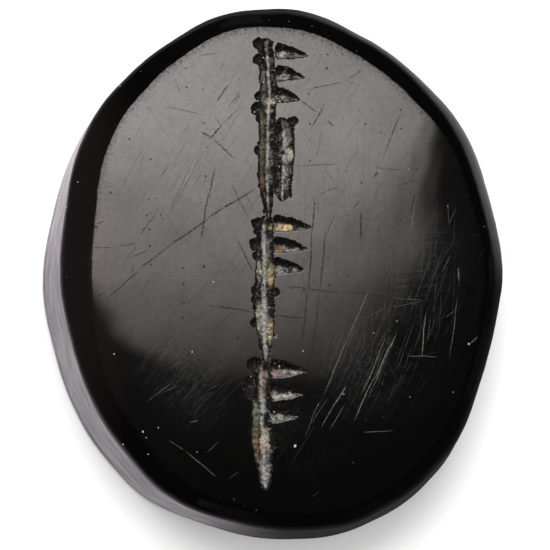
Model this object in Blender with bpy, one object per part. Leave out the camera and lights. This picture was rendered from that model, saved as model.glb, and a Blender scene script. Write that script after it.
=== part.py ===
"""An oval seal stone of polished black stone, about 18 mm long, with engraved strokes on its face.

Metres, +Z up out of the engraved face, +Y along the stone, origin in the middle of the flat back.
"""

from collections import namedtuple

import bmesh
import bpy
from mathutils import Matrix, Vector

# Every size below is in millimetres, and the finished meshes are in metres.
MM = 0.001

# Heights above the flat back: the edge of the face, how far its dome rises above that edge, and
# the small bevel round the back.
FACE_EDGE_HEIGHT = 3.20
DOME_RISE = 0.30
BACK_BEVEL = 0.14

# How far the steep facet above the girdle rises for each millimetre of its width.
FACET_RISE = 1.05

# The sides were ground as flats that meet in soft corners. Each corner, anticlockwise from the
# right: its place across and along the stone, the girdle's height there, how far the foot stands
# out past the girdle, the width of the steep facet, and the whole width from girdle to face.
Corner = namedtuple("Corner", "across along girdle foot facet shoulder")
CORNERS = (
    Corner(7.80, 0.55, 2.50, 0.10, 0.36, 0.84),
    Corner(6.55, 5.05, 2.45, -0.05, 0.45, 0.96),
    Corner(3.95, 7.50, 2.60, -0.10, 0.18, 0.86),
    Corner(0.85, 9.05, 2.56, -0.12, 0.22, 0.86),
    Corner(-2.30, 8.75, 2.62, -0.15, 0.14, 0.60),
    Corner(-4.80, 7.15, 2.66, -0.20, 0.08, 0.66),
    Corner(-6.50, 5.40, 2.66, -0.30, 0.08, 0.76),
    Corner(-7.40, 3.45, 2.66, -0.22, 0.08, 0.84),
    Corner(-7.80, 0.55, 2.66, 0.06, 0.08, 0.85),
    Corner(-7.80, -1.15, 2.66, 0.08, 0.08, 0.80),
    Corner(-7.10, -3.85, 2.66, 0.07, 0.08, 0.60),
    Corner(-6.20, -5.65, 2.66, 0.07, 0.08, 0.60),
    Corner(-4.60, -7.50, 2.66, 0.03, 0.08, 0.56),
    Corner(-3.20, -8.35, 2.64, -0.14, 0.08, 0.50),
    Corner(-0.50, -8.95, 2.64, 0.02, 0.08, 0.46),
    Corner(2.30, -8.75, 2.64, 0.10, 0.08, 0.48),
    Corner(4.60, -7.40, 2.60, 0.32, 0.10, 0.60),
    Corner(6.20, -5.55, 2.56, 0.40, 0.14, 0.68),
    Corner(7.25, -2.40, 2.54, 0.30, 0.20, 0.62),
)

# Each corner is rounded over this share of the sides that meet in it, in this many steps.
CORNER_SHARE = 0.40
CORNER_STEPS = 4

# The dome's rings, as shares of the way from the middle of the face to its edge.
DOME_RINGS = (0.86, 0.70, 0.52, 0.34, 0.16)

# Half the face across and along, for the height of its dome at a stroke.
FACE_HALF_WIDTH = 7.0
FACE_HALF_LENGTH = 8.25

# Each engraved stroke: its two ends across and along, its greatest width and its depth.
Stroke = namedtuple("Stroke", "across along end_across end_along width depth")
LONG_STROKES = (
    Stroke(-0.62, 7.85, -0.68, 1.55, 0.54, 0.26),
    Stroke(-0.70, 2.20, -0.84, -1.10, 0.46, 0.24),
    Stroke(-0.86, -0.55, -0.82, -3.70, 0.50, 0.26),
    Stroke(-0.84, -3.15, -0.90, -7.75, 0.64, 0.28),
    Stroke(0.02, 5.35, 0.04, 2.10, 0.44, 0.22),
)

# The short strokes stand beside them in rows. Each row: where its first stroke starts, how many
# strokes it has, the step along to the next, and the reach, slant, width and depth of a stroke.
Row = namedtuple("Row", "across along count step reach slant width depth")
ROWS = (
    Row(-0.34, 7.45, 3, -0.74, 1.20, -0.18, 0.32, 0.17),
    Row(-0.42, 1.46, 3, -0.70, 1.45, 0.16, 0.34, 0.18),
    Row(-0.50, -3.50, 3, -0.78, 1.32, -0.14, 0.38, 0.19),
)
ROW_SHORTENING = 0.14

# The engraver's wheel leaves a boat shape. Its cutter is a sphere drawn out along the stroke, with
# this many sides and rings, made fuller towards its ends and set a little above the face.
CUTTER_SIDES = 12
CUTTER_RINGS = 8
CUTTER_FULLNESS = 4
CUTTER_STAND = 0.02


def ring_of(points):
    """The points of a closed ring, which rounds an outline of corner points."""
    ring = []
    for index, corner in enumerate(points):
        before = corner.lerp(points[index - 1], CORNER_SHARE)
        after = corner.lerp(points[(index + 1) % len(points)], CORNER_SHARE)
        for step in range(CORNER_STEPS + 1):
            share = step / CORNER_STEPS
            ring.append(before.lerp(corner, share).lerp(corner.lerp(after, share), share))
    return ring


def place_of(corner):
    return Vector((corner.across, corner.along, 0))


def outward_of(index):
    """The level direction out of the stone at a corner, halfway between its two sides' normals."""
    here = place_of(CORNERS[index])
    side_before = here - place_of(CORNERS[index - 1])
    side_after = place_of(CORNERS[(index + 1) % len(CORNERS)]) - here
    bisector = side_before.normalized() + side_after.normalized()
    return Vector((bisector.y, -bisector.x, 0)).normalized()


def section_of(index):
    """The stone's section at a corner, from the back up to the edge of the face."""
    corner = CORNERS[index]
    outward = outward_of(index)
    steps = (
        (corner.foot - BACK_BEVEL, 0),
        (corner.foot, BACK_BEVEL),
        (0, corner.girdle),
        (-corner.facet, corner.girdle + corner.facet * FACET_RISE),
        (-corner.shoulder, FACE_EDGE_HEIGHT),
    )
    return [place_of(corner) + outward * out + Vector((0, 0, height)) for out, height in steps]


def stone_rings():
    """Every ring of the stone, from the edge of the back to the one round the top of the dome."""
    sections = [section_of(index) for index in range(len(CORNERS))]
    rings = [ring_of(level) for level in zip(*sections)]
    edge = rings[-1]
    middle = sum(edge, Vector()) / len(edge)
    for share in DOME_RINGS:
        rise = Vector((0, 0, DOME_RISE * (1 - share**2)))
        rings.append([middle.lerp(point, share) + rise for point in edge])
    return rings


def metres_from(rings):
    """The matrix that puts the middle of the stone's back at the origin, in metres."""
    points = [point for ring in rings for point in ring]
    ends = [(min(p[axis] for p in points), max(p[axis] for p in points)) for axis in (0, 1)]
    middle = Vector([(low + high) / 2 for low, high in ends] + [0])
    return Matrix.Scale(MM, 4) @ Matrix.Translation(-middle)


def add_object(mesh, name, collection):
    data = bpy.data.meshes.new(name)
    mesh.to_mesh(data)
    mesh.free()
    made = bpy.data.objects.new(name, data)
    collection.objects.link(made)
    return made


def add_stone(rings, to_metres, collection):
    mesh = bmesh.new()
    loops = []
    for ring in rings:
        points = [mesh.verts.new(to_metres @ point) for point in ring]
        loops.append([mesh.edges.new(ends) for ends in zip(points, points[1:] + points[:1])])
    for lower, upper in zip(loops, loops[1:]):
        bmesh.ops.bridge_loops(mesh, edges=lower + upper)
    for end in (loops[0], loops[-1]):
        bmesh.ops.contextual_create(mesh, geom=end)
    bmesh.ops.recalc_face_normals(mesh, faces=mesh.faces)
    return add_object(mesh, "seal_stone", collection)


def on_face(across, along):
    """A place on the domed face."""
    share = (across / FACE_HALF_WIDTH) ** 2 + (along / FACE_HALF_LENGTH) ** 2
    return Vector((across, along, FACE_EDGE_HEIGHT + DOME_RISE * (1 - share)))


def add_cutter(stroke, name, to_metres, collection):
    """A boat shape laid along the stroke, with its middle just above the face."""
    start = on_face(stroke.across, stroke.along)
    end = on_face(stroke.end_across, stroke.end_along)
    run = end - start
    mesh = bmesh.new()
    bmesh.ops.create_uvsphere(mesh, u_segments=CUTTER_SIDES, v_segments=CUTTER_RINGS, radius=1)
    for vertex in mesh.verts:
        radius = vertex.co.xy.length
        if radius > 0.01:
            vertex.co.xy *= (1 - abs(vertex.co.z) ** CUTTER_FULLNESS) ** 0.5 / radius
    size = Matrix.Diagonal((stroke.depth, stroke.width / 2, run.length / 2, 1))
    turn = run.to_track_quat("Z", "X").to_matrix().to_4x4()
    place = Matrix.Translation((start + end) / 2 + Vector((0, 0, CUTTER_STAND)))
    bmesh.ops.transform(mesh, matrix=to_metres @ place @ turn @ size, verts=mesh.verts)
    bmesh.ops.recalc_face_normals(mesh, faces=mesh.faces)
    cutter = add_object(mesh, name, collection)
    cutter.hide_render = True
    cutter.display_type = "WIRE"
    return cutter


def strokes_of(row):
    """The row's strokes, each a little shorter than the one before it."""
    for index in range(row.count):
        along = row.along + row.step * index
        end_across = row.across + row.reach - ROW_SHORTENING * index
        yield Stroke(row.across, along, end_across, along + row.slant, row.width, row.depth)


def engrave(stone, to_metres, collection):
    strokes = list(LONG_STROKES)
    for row in ROWS:
        strokes += strokes_of(row)
    for number, stroke in enumerate(strokes, 1):
        cut = stone.modifiers.new(f"stroke_{number}", "BOOLEAN")
        cut.object = add_cutter(stroke, f"stroke_cutter_{number}", to_metres, collection)
        cut.operation = "DIFFERENCE"
        cut.solver = "EXACT"


def black_stone():
    material = bpy.data.materials.new("black_stone")
    material.use_nodes = True
    shader = material.node_tree.nodes["Principled BSDF"]
    shader.inputs["Base Color"].default_value = (0.012, 0.011, 0.012, 1)
    shader.inputs["Roughness"].default_value = 0.12
    shader.inputs["Metallic"].default_value = 0
    return material


def new_collection(name):
    collection = bpy.data.collections.new(name)
    bpy.context.scene.collection.children.link(collection)
    return collection


def main():
    for old in list(bpy.data.objects):
        bpy.data.objects.remove(old)
    rings = stone_rings()
    to_metres = metres_from(rings)
    stone = add_stone(rings, to_metres, new_collection("seal_stone"))
    engrave(stone, to_metres, new_collection("seal_stone_cutters"))
    stone.data.materials.append(black_stone())


main()
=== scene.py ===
import math
import random

import bmesh
import bpy
import numpy as np
from mathutils import Matrix, Vector, noise


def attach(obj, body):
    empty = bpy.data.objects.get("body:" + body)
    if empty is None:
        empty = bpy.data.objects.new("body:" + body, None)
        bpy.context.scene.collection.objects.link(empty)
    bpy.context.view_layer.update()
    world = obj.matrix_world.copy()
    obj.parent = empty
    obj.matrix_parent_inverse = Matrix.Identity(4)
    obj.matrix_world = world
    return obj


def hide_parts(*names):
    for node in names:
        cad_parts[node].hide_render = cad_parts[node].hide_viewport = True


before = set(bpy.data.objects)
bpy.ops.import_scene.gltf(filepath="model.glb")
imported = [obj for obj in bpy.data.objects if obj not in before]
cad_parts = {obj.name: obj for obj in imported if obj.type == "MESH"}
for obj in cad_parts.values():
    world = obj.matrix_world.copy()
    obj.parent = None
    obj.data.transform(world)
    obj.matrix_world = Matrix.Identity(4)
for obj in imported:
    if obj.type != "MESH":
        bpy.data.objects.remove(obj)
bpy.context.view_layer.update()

# All the sizes below are in millimetres; the meshes are in metres.
mm = 0.001
scene = bpy.context.scene

stone = {
    "piece": "seal_stone_fine",
    "node": "seal_stone",
    "slot": "black_stone",
    "fit": 0.9994,           # keeps the finer outline inside the solid's
    "faceEdgeHeight": 3.20,
    "domeRise": 0.292,
    "shoulderHeight": 2.9,   # about the middle of the shoulder
    "faceHalfWidth": 7.0,
    "faceHalfLength": 8.45,
    "backBevel": 0.14,
    "facetRise": 1.05,
    # across, along, girdle height, foot past the girdle, steep facet's width, shoulder's width,
    # and how far the girdle is worn round
    "corners": (
        (7.8, 0.55, 2.5, 0.1, 0.36, 0.84, 0.2), (6.55, 5.05, 2.45, -0.05, 0.45, 0.96, 0.24),
        (3.95, 7.5, 2.6, -0.1, 0.18, 0.86, 0.24), (0.85, 9.05, 2.56, -0.12, 0.22, 0.86, 0.2),
        (-2.3, 8.75, 2.62, -0.15, 0.14, 0.6, 0.1), (-4.8, 7.15, 2.66, -0.2, 0.08, 0.66, 0.08),
        (-6.5, 5.4, 2.66, -0.3, 0.08, 0.76, 0.08), (-7.4, 3.45, 2.66, -0.22, 0.08, 0.84, 0.08),
        (-7.8, 0.55, 2.66, 0.06, 0.08, 0.85, 0.08), (-7.8, -1.15, 2.66, 0.08, 0.08, 0.8, 0.08),
        (-7.1, -3.85, 2.66, 0.07, 0.08, 0.6, 0.1), (-6.2, -5.65, 2.66, 0.07, 0.08, 0.6, 0.12),
        (-4.6, -7.5, 2.66, 0.03, 0.08, 0.56, 0.12), (-3.2, -8.35, 2.64, -0.14, 0.08, 0.5, 0.12),
        (-0.5, -8.95, 2.64, 0.02, 0.08, 0.46, 0.14), (2.3, -8.75, 2.64, 0.1, 0.08, 0.48, 0.18),
        (4.6, -7.4, 2.6, 0.32, 0.1, 0.6, 0.24), (6.2, -5.55, 2.56, 0.4, 0.14, 0.68, 0.24),
        (7.25, -2.4, 2.54, 0.3, 0.2, 0.62, 0.2),
    ),
    "cornerShare": 0.40,
    "cornerSteps": 24,
    "columns": 100,          # the face's own mesh, across and along
    "rows": 120,
    "faceRounding": 0.07,
    "footRounding": 0.06,
    "backInset": 0.9,
    "roundingSteps": 4,
    "girdleSteps": 10,
    "ringStep": 0.13,
    "unevenness": ((1.6, 0.014), (0.32, 0.008)),   # size of the waves, how far
    "wear": (0.05, 0.3),     # where it starts below the face's edge, and in how far it is full
    "edgeNicks": ((0.45, 0.010), (0.12, 0.016)),
    "nickFade": 12,          # how soon the nicks fade towards the middle of the face
    # the polished face isn't perfectly even: direction, stretch, then size and height of the waves
    "rippleTurn": 70.0,
    "rippleStretch": 2.6,
    "ripples": ((1.0, 0.0013), (0.34, 0.00055)),
}


def roundedRing(points):
    ring = []
    for index, corner in enumerate(points):
        before = corner.lerp(points[index - 1], stone["cornerShare"])
        after = corner.lerp(points[(index + 1) % len(points)], stone["cornerShare"])
        for step in range(stone["cornerSteps"] + 1):
            share = step / stone["cornerSteps"]
            ring.append(before.lerp(corner, share).lerp(corner.lerp(after, share), share))
    return np.array(ring)


def cornerSections():
    # the section at each corner: back, foot, girdle, facet top, edge of the face
    corners = stone["corners"]
    sections = []
    for index, (across, along, girdle, foot, facet, shoulder, _) in enumerate(corners):
        here = Vector((across, along, 0))
        last = Vector((*corners[index - 1][:2], 0))
        following = Vector((*corners[(index + 1) % len(corners)][:2], 0))
        way = (here - last).normalized() + (following - here).normalized()
        outward = Vector((way.y, -way.x, 0)).normalized()
        steps = (
            (foot - stone["backBevel"], 0),
            (foot, stone["backBevel"]),
            (0, girdle),
            (-facet, girdle + facet * stone["facetRise"]),
            (-shoulder, stone["faceEdgeHeight"]),
        )
        sections.append([here + outward * out + Vector((0, 0, height)) for out, height in steps])
    return sections


def outlineRings():
    # five rings of points round the stone, from the back up, centred on the stone's box
    rings = np.array([roundedRing(level) for level in zip(*cornerSections())])
    level = rings[:, :, :2].reshape(-1, 2)
    rings[:, :, :2] -= (level.min(0) + level.max(0)) / 2
    rings[:, :, :2] *= stone["fit"]
    return rings


def angleOf(places, middle):
    return np.arctan2(places[:, 1] - middle[1], places[:, 0] - middle[0])


def aroundFace(rings, angles):
    # for directions seen from the middle of the face: the five points of the section there
    middle = rings[4].mean(0)
    found = angleOf(rings[4], middle)
    sections = [
        [np.interp(angles, found, ring[:, axis], period=2 * math.pi) for axis in range(3)]
        for ring in rings
    ]
    return np.array(sections).transpose(0, 2, 1), middle


def wornRound(rings, angles):
    turns = rings[4][stone["cornerSteps"] // 2::stone["cornerSteps"] + 1]
    worn = [corner[6] for corner in stone["corners"]]
    return np.interp(angles, angleOf(turns, rings[4].mean(0)), worn, period=2 * math.pi)[:, None]


def domeHeight(places, rings):
    middle = rings[4].mean(0)
    sections, _ = aroundFace(rings, angleOf(places, middle))
    reach = np.hypot(*(sections[4, :, :2] - middle[:2]).T)
    share = np.hypot(*(places[:, :2] - middle[:2]).T) / reach
    return stone["faceEdgeHeight"] + stone["domeRise"] * (1 - share**2)


def ripple(places):
    turn = math.radians(stone["rippleTurn"])
    along = places[:, 0] * math.cos(turn) + places[:, 1] * math.sin(turn)
    across = places[:, 1] * math.cos(turn) - places[:, 0] * math.sin(turn)
    turned = np.column_stack([along / stone["rippleStretch"], across, 0 * along])
    return sum(reach * noiseAt(turned, size, 13.7 * size) for size, reach in stone["ripples"])


def coordinates(mesh):
    places = np.empty(len(mesh.vertices) * 3)
    mesh.vertices.foreach_get("co", places)
    return places.reshape(-1, 3) / mm


def setCoordinates(mesh, places):
    mesh.vertices.foreach_set("co", (places * mm).ravel())
    mesh.update()


def storeOnPoints(mesh, name, values, kind="FLOAT"):
    mesh.attributes.new(name, kind, "POINT").data.foreach_set("value", values)


def readFromPoints(mesh, name, kind=np.float32):
    values = np.zeros(len(mesh.vertices), kind)
    mesh.attributes[name].data.foreach_get("value", values)
    return values


def noiseAt(places, size, seed):
    return np.array([noise.noise((x / size, y / size, z / size + seed)) for x, y, z in places])


def nibble(edge):
    # the polished face's edge isn't quite even: small nicks run along it
    nicks = sum(reach * noiseAt(edge, size, 5.3 * size) for size, reach in stone["edgeNicks"])
    away = edge[:, :2] / np.hypot(*edge[:, :2].T)[:, None]
    moved = edge.copy()
    moved[:, :2] += away * nicks[:, None]
    return moved


def switch(mode):
    bpy.ops.object.mode_set(mode=mode)


def layFace(rings):
    # a square grid drawn out to the face's oval outline
    bpy.ops.object.select_all(action="DESELECT")
    bpy.ops.mesh.primitive_grid_add(
        x_subdivisions=stone["columns"], y_subdivisions=stone["rows"], size=2 * mm
    )
    made = bpy.context.active_object
    made.name = made.data.name = stone["piece"]
    grid = coordinates(made.data)
    across, along = grid[:, 0], grid[:, 1]
    disc = np.stack([across * np.sqrt(1 - along**2 / 2), along * np.sqrt(1 - across**2 / 2)], -1)
    sections, middle = aroundFace(rings, np.arctan2(disc[:, 1], disc[:, 0]))
    edge = sections[4, :, :2] - middle[:2]
    nicked = nibble(sections[4])[:, :2] - middle[:2]
    share = np.hypot(*disc.T) * (1 - stone["faceRounding"] / np.hypot(*edge.T))
    places = np.empty((len(grid), 3))
    fade = share[:, None] ** stone["nickFade"]
    places[:, :2] = middle[:2] + (edge + (nicked - edge) * fade) * share[:, None]
    places[:, 2] = stone["faceEdgeHeight"] + stone["domeRise"] * (1 - share**2)
    setCoordinates(made.data, places)
    return made


def toward(start, end, reach):
    # the point that far from start on the way to end, at most nearly halfway
    apart = end - start
    length = np.linalg.norm(apart, axis=1)[:, None]
    return start + apart / length * np.minimum(reach, 0.45 * length)


def curveRings(controls, steps):
    # rings along a smooth curve drawn by three or four rings of control points
    made = []
    for step in range(1, steps + 1):
        level = controls
        while len(level) > 1:
            level = [a + (b - a) * step / steps for a, b in zip(level, level[1:])]
        made.append(level[0])
    return made


def straightRings(start, end):
    count = max(2, round(float(np.linalg.norm(end - start, axis=1).mean()) / stone["ringStep"]))
    return [start + (end - start) * step / count for step in range(1, count + 1)]


def sideRings(rings, inner):
    # every ring below the face, and which of them are on the ground wall: 0 no, 1 yes
    middle = rings[4].mean(0)
    angles = angleOf(inner, middle)
    (back, foot, girdle, facet, edge), _ = aroundFace(rings, angles)
    edge = nibble(edge)
    worn = wornRound(rings, angles)
    shoulderTop = toward(edge, facet, stone["faceRounding"])
    shoulderEnd = toward(facet, edge, worn)
    wallTop = toward(girdle, foot, worn)
    wallEnd = toward(foot, girdle, stone["footRounding"])
    bevelTop = toward(foot, back, stone["footRounding"])
    bevelEnd = toward(back, foot, stone["footRounding"])
    underside = toward(back, middle * (1, 1, 0), stone["footRounding"])
    stretches = (
        (curveRings([inner, edge, shoulderTop], stone["roundingSteps"]), 0, 0),
        (straightRings(shoulderTop, shoulderEnd), 0, 0),
        (curveRings([shoulderEnd, facet, girdle, wallTop], stone["girdleSteps"]), 0, 1),
        (straightRings(wallTop, wallEnd), 1, 1),
        (curveRings([wallEnd, foot, bevelTop], stone["roundingSteps"]), 1, 1),
        ([bevelEnd], 1, 1),
        (curveRings([bevelEnd, back, underside], stone["roundingSteps"]), 1, 1),
        (straightRings(underside, toward(back, middle * (1, 1, 0), stone["backInset"])), 1, 1),
    )
    made, wall = [], []
    for found, first, last in stretches:
        made += found
        wall += list(np.linspace(first, last, len(found)))
    return made, wall


def dropSides(made, rings):
    # the face's border is extruded ring by ring over the shoulder, down the wall, under the back
    switch("EDIT")
    bpy.ops.mesh.select_all(action="SELECT")
    bpy.ops.mesh.region_to_loop()
    switch("OBJECT")
    border = [vertex.index for vertex in made.data.vertices if vertex.select]
    levels, wall = sideRings(rings, coordinates(made.data)[border])
    stations = np.full(len(made.data.vertices), -1, np.int32)
    stations[border] = np.arange(len(border))
    storeOnPoints(made.data, "station", stations, "INT")
    storeOnPoints(made.data, "level", np.zeros(len(stations), np.int32), "INT")
    switch("EDIT")
    for number, level in enumerate(levels, 1):
        bpy.ops.mesh.extrude_edges_move()
        edit = bmesh.from_edit_mesh(made.data)
        station, height = edit.verts.layers.int["station"], edit.verts.layers.int["level"]
        for vertex in edit.verts:
            if vertex.select:
                vertex.co = Vector(level[vertex[station]]) * mm
                vertex[height] = number
        bmesh.update_edit_mesh(made.data)
    bpy.ops.mesh.edge_face_add()
    bpy.ops.mesh.select_all(action="SELECT")
    bpy.ops.mesh.normals_make_consistent(inside=False)
    switch("OBJECT")
    level = readFromPoints(made.data, "level", np.int32)
    storeOnPoints(made.data, "wall", np.array([0, *wall])[level])
    wearSides(made, level)


def wearSides(made, level):
    # the ground sides and the edges aren't perfectly even: they are worn inwards a little
    places = coordinates(made.data)
    side = (level > 0) & (places[:, 2] > stone["backBevel"] * 1.5)
    ground = places[side]
    inward = -ground[:, :2] / np.hypot(*ground[:, :2].T)[:, None]
    start, growth = stone["wear"]
    growing = np.clip((stone["faceEdgeHeight"] - start - ground[:, 2]) / growth, 0, 1)
    for number, (size, reach) in enumerate(stone["unevenness"]):
        shift = reach * (1 + noiseAt(ground, size, 9.1 * number)) * growing
        places[side, :2] += inward * shift[:, None]
    setCoordinates(made.data, places)


strokes = {
    # the long strokes: their outline from the top down (along, left side, right side), the part
    # of their width that is the deepest, and their depth
    "long": (
        (((7.72, -0.92, -0.66), (7.35, -1.04, -0.55), (6.0, -1.0, -0.45), (4.6, -1.05, -0.54),
          (2.9, -1.08, -0.58), (2.3, -0.98, -0.61), (1.75, -0.84, -0.67), (1.55, -0.78, -0.74)),
         (0.6, 0.76), 0.26),
        (((5.0, -0.36, -0.2), (4.75, -0.5, 0.11), (3.9, -0.55, 0.15), (3.1, -0.54, 0.08),
          (2.5, -0.52, -0.01), (2.2, -0.34, -0.18)), (0.5, 0.64), 0.22),
        (((1.62, -0.9, -0.72), (1.4, -1.15, -0.64), (0.2, -1.16, -0.6), (-0.4, -1.19, -0.57),
          (-1.1, -1.24, -0.57), (-1.75, -1.21, -0.58), (-2.4, -1.1, -0.61), (-2.9, -0.97, -0.7),
          (-3.25, -0.88, -0.78)), (0.44, 0.66), 0.25),
        (((-3.25, -1.1, -0.82), (-3.6, -1.28, -0.73), (-4.4, -1.29, -0.7), (-5.25, -1.3, -0.63),
          (-5.9, -1.33, -0.55), (-6.45, -1.2, -0.6), (-7.0, -1.07, -0.61), (-7.35, -1.0, -0.64),
          (-7.55, -0.86, -0.74)), (0.5, 0.68), 0.26),
    ),
    # the short ones, in rows: start across and along, count, step, reach, slant, width, depth
    "rows": (
        (-0.46, 7.42, 3, -0.76, 1.12, -0.14, 0.36, 0.17),
        (-0.58, 1.50, 3, -0.72, 1.32, -0.12, 0.36, 0.18),
        (-0.66, -3.42, 3, -0.76, 1.22, -0.08, 0.40, 0.19),
    ),
    "rowShortening": 0.14,
    "bow": 0.10,
    "foot": 2.1,             # how far a short stroke's gentle side runs out, against its steep one
    # a short stroke's section from the steep edge to the gentle one, and how much of the polish and of the
    # dust lies there; the dust on the gentle side is partly real dust and partly painted light for the
    # light that side catches
    "shortSection": ((0, 0), (0.10, 0.6), (0.26, 1), (0.40, 0.92), (0.60, 0.50), (0.80, 0.18), (1, 0)),
    "shortPolish": ((0, 0), (0.36, 0.05), (0.52, 0.35), (0.85, 0.45), (1, 0.6), (1.1, 1)),
    "shortDustAndLight": ((0, 0), (0.36, 0), (0.52, 0.66), (0.85, 0.62), (1, 0.40)),
    "longPolish": 0.08,
    "linePolish": 0.65,
    "chipPolish": 0.10,
    "chipDust": 0.3,         # the share that a chip holds of the dust, and of the dirt
    "chipDirt": 0.4,
    "fullWidth": 0.42,       # a narrower stroke is shallower too
    "cuts": 5,
    "margin": 0.22,
    "column": (-0.2, 2.0),   # the strokes' middle across, and their reach either way
    "raggedness": ((0.26, 0.024), (0.09, 0.020), (0.04, 0.012)),   # size of the waves, how far
    "grain": ((0.15, 0.16), (0.05, 0.14)),
    "wheelMarks": (0.45, 0.035, 0.16),     # their length, spacing and share of the depth
    "dustPatch": (0.24, 0.07),
    "groundAway": 0.03,                    # how deep the stone is where no polish is left
    "chipEvery": 0.80,
    "chipRadius": (0.03, 0.07),
    "chipDepth": (0.02, 0.05),
    # across, along, radius and depth of the larger chips
    "chips": (
        (-1.05, 7.55, 0.17, 0.12), (-1.03, 7.0, 0.19, 0.12), (-1.05, 5.75, 0.13, 0.09),
        (-1.09, 5.31, 0.22, 0.13), (-1.06, 4.96, 0.11, 0.08), (-1.09, 3.88, 0.13, 0.09),
        (-1.14, 1.4, 0.17, 0.12), (-1.2, 0.68, 0.2, 0.12), (-1.14, 0.28, 0.15, 0.1),
        (-1.19, -0.9, 0.16, 0.1), (-1.21, -1.22, 0.14, 0.09), (-1.22, -2.0, 0.15, 0.1),
        (-1.22, -3.42, 0.26, 0.13), (-1.36, -4.07, 0.26, 0.13), (-1.3, -4.32, 0.2, 0.11),
        (-0.53, -0.95, 0.13, 0.07), (0.06, 4.88, 0.15, 0.08), (0.18, 4.95, 0.12, 0.06),
    ),
    # patches of dirt, partly painted light where they lie pale on the short strokes' gentle sides: across,
    # along, half widths across and along, tint, how thick
    "dirtAndRampLight": (
        (-0.95, 4.2, 0.15, 1.1, "olive", 0.75), (-0.95, 2.9, 0.11, 0.4, "brown", 0.7),
        (-0.9, 6.0, 0.15, 0.7, "grey", 0.55), (-0.72, 5.35, 0.09, 0.4, "beige", 0.6),
        (-0.54, 5.6, 0.09, 0.12, "beige", 0.9), (-0.72, 3.6, 0.1, 1.0, "grey", 0.5),
        (0.03, 3.8, 0.13, 0.26, "beige", 0.95), (-0.1, 3.4, 0.09, 0.9, "grey", 0.6),
        (-0.03, 4.45, 0.11, 0.3, "grey", 0.7), (-0.78, 0.4, 0.1, 0.6, "grey", 0.55),
        (-1.06, -0.2, 0.13, 0.36, "beige", 0.8), (-0.65, -0.34, 0.11, 0.4, "gold", 0.95),
        (-1.06, -1.8, 0.14, 0.56, "beige", 0.7), (-0.65, -2.25, 0.11, 0.46, "gold", 0.75),
        (-0.84, -1.9, 0.14, 1.0, "pale", 0.7), (-0.83, -2.95, 0.1, 0.34, "pale", 0.7),
        (-0.92, -4.05, 0.13, 0.5, "pink", 0.7), (-1.13, -5.1, 0.13, 0.45, "green", 0.8),
        (-0.86, -4.75, 0.07, 0.3, "pale", 0.7), (-1.14, -5.6, 0.14, 0.35, "olive", 0.8),
        (-1.13, -6.2, 0.15, 0.5, "brown", 0.85), (-0.8, -5.95, 0.16, 0.5, "beige", 0.85),
        (-0.8, -6.5, 0.17, 0.45, "pink", 0.6), (-0.8, -7.0, 0.17, 0.6, "pale", 0.9),
        (-0.21, 7.26, 0.14, 0.09, "pale", 0.8), (-0.3, 1.28, 0.44, 0.16, "gold", 0.85),
        (-0.42, 0.5, 0.16, 0.11, "orange", 0.6), (-0.02, 0.48, 0.24, 0.12, "grey", 0.6),
        (-0.6, -3.68, 0.34, 0.17, "pink", 0.9), (-0.05, -3.72, 0.36, 0.15, "pale", 0.6),
        (-0.15, -4.5, 0.44, 0.2, "pale", 0.65), (-0.2, -5.25, 0.36, 0.16, "grey", 0.55),
        (-0.75, 7.62, 0.07, 0.07, "gold", 1.0),
    ),
    "tints": {
        "dustAndRampLight": (0.15, 0.145, 0.13), "grey": (0.17, 0.165, 0.15), "pale": (0.26, 0.252, 0.23),
        "beige": (0.33, 0.3, 0.22), "gold": (0.33, 0.255, 0.135), "orange": (0.24, 0.14, 0.06),
        "olive": (0.12, 0.105, 0.06), "brown": (0.15, 0.095, 0.055), "pink": (0.21, 0.14, 0.12),
        "green": (0.15, 0.19, 0.13),
    },
    "dustAmount": 0.25,
    "blackEdge": (0.02, 0.10),
    "seed": 7,
}


def shortStrokes():
    # start and end, width and depth of each short stroke
    found = []
    for across, along, count, step, reach, slant, width, depth in strokes["rows"]:
        for index in range(count):
            start = np.array((across, along + step * index))
            end = start + (reach - strokes["rowShortening"] * index, slant)
            found.append((start, end, width, depth))
    return found


def alongStroke(places, start, end):
    # how far along the stroke, from 0 to 1, and how far to the left of it
    run = end - start
    length = np.hypot(*run)
    way = run / length
    apart = places - start
    return apart @ way / length, apart @ np.array((-way[1], way[0])), length


def sidesOf(outline, along):
    # a long stroke's left and right side at each place along it
    rows = np.array(outline)[::-1].T
    return np.interp(along, rows[0], rows[1]), np.interp(along, rows[0], rows[2])


def warped(places):
    flat = np.column_stack([places, np.zeros(len(places))])
    ragged = places.copy()
    for number, (size, reach) in enumerate(strokes["raggedness"]):
        for axis in (0, 1):
            ragged[:, axis] += 1.5 * reach * noiseAt(flat, size, 3.7 * number + 11.3 * axis)
    return ragged


def spread(mesh, values):
    # each point takes the highest value among its neighbours
    ends = np.zeros(len(mesh.edges) * 2, np.int32)
    mesh.edges.foreach_get("vertices", ends)
    first, second = ends.reshape(-1, 2).T
    grown = values.copy()
    np.maximum.at(grown, first, values[second])
    np.maximum.at(grown, second, values[first])
    return grown


def softStep(values, low, high):
    share = np.clip((values - low) / (high - low), 0, 1)
    return share * share * (3 - 2 * share)


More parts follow.
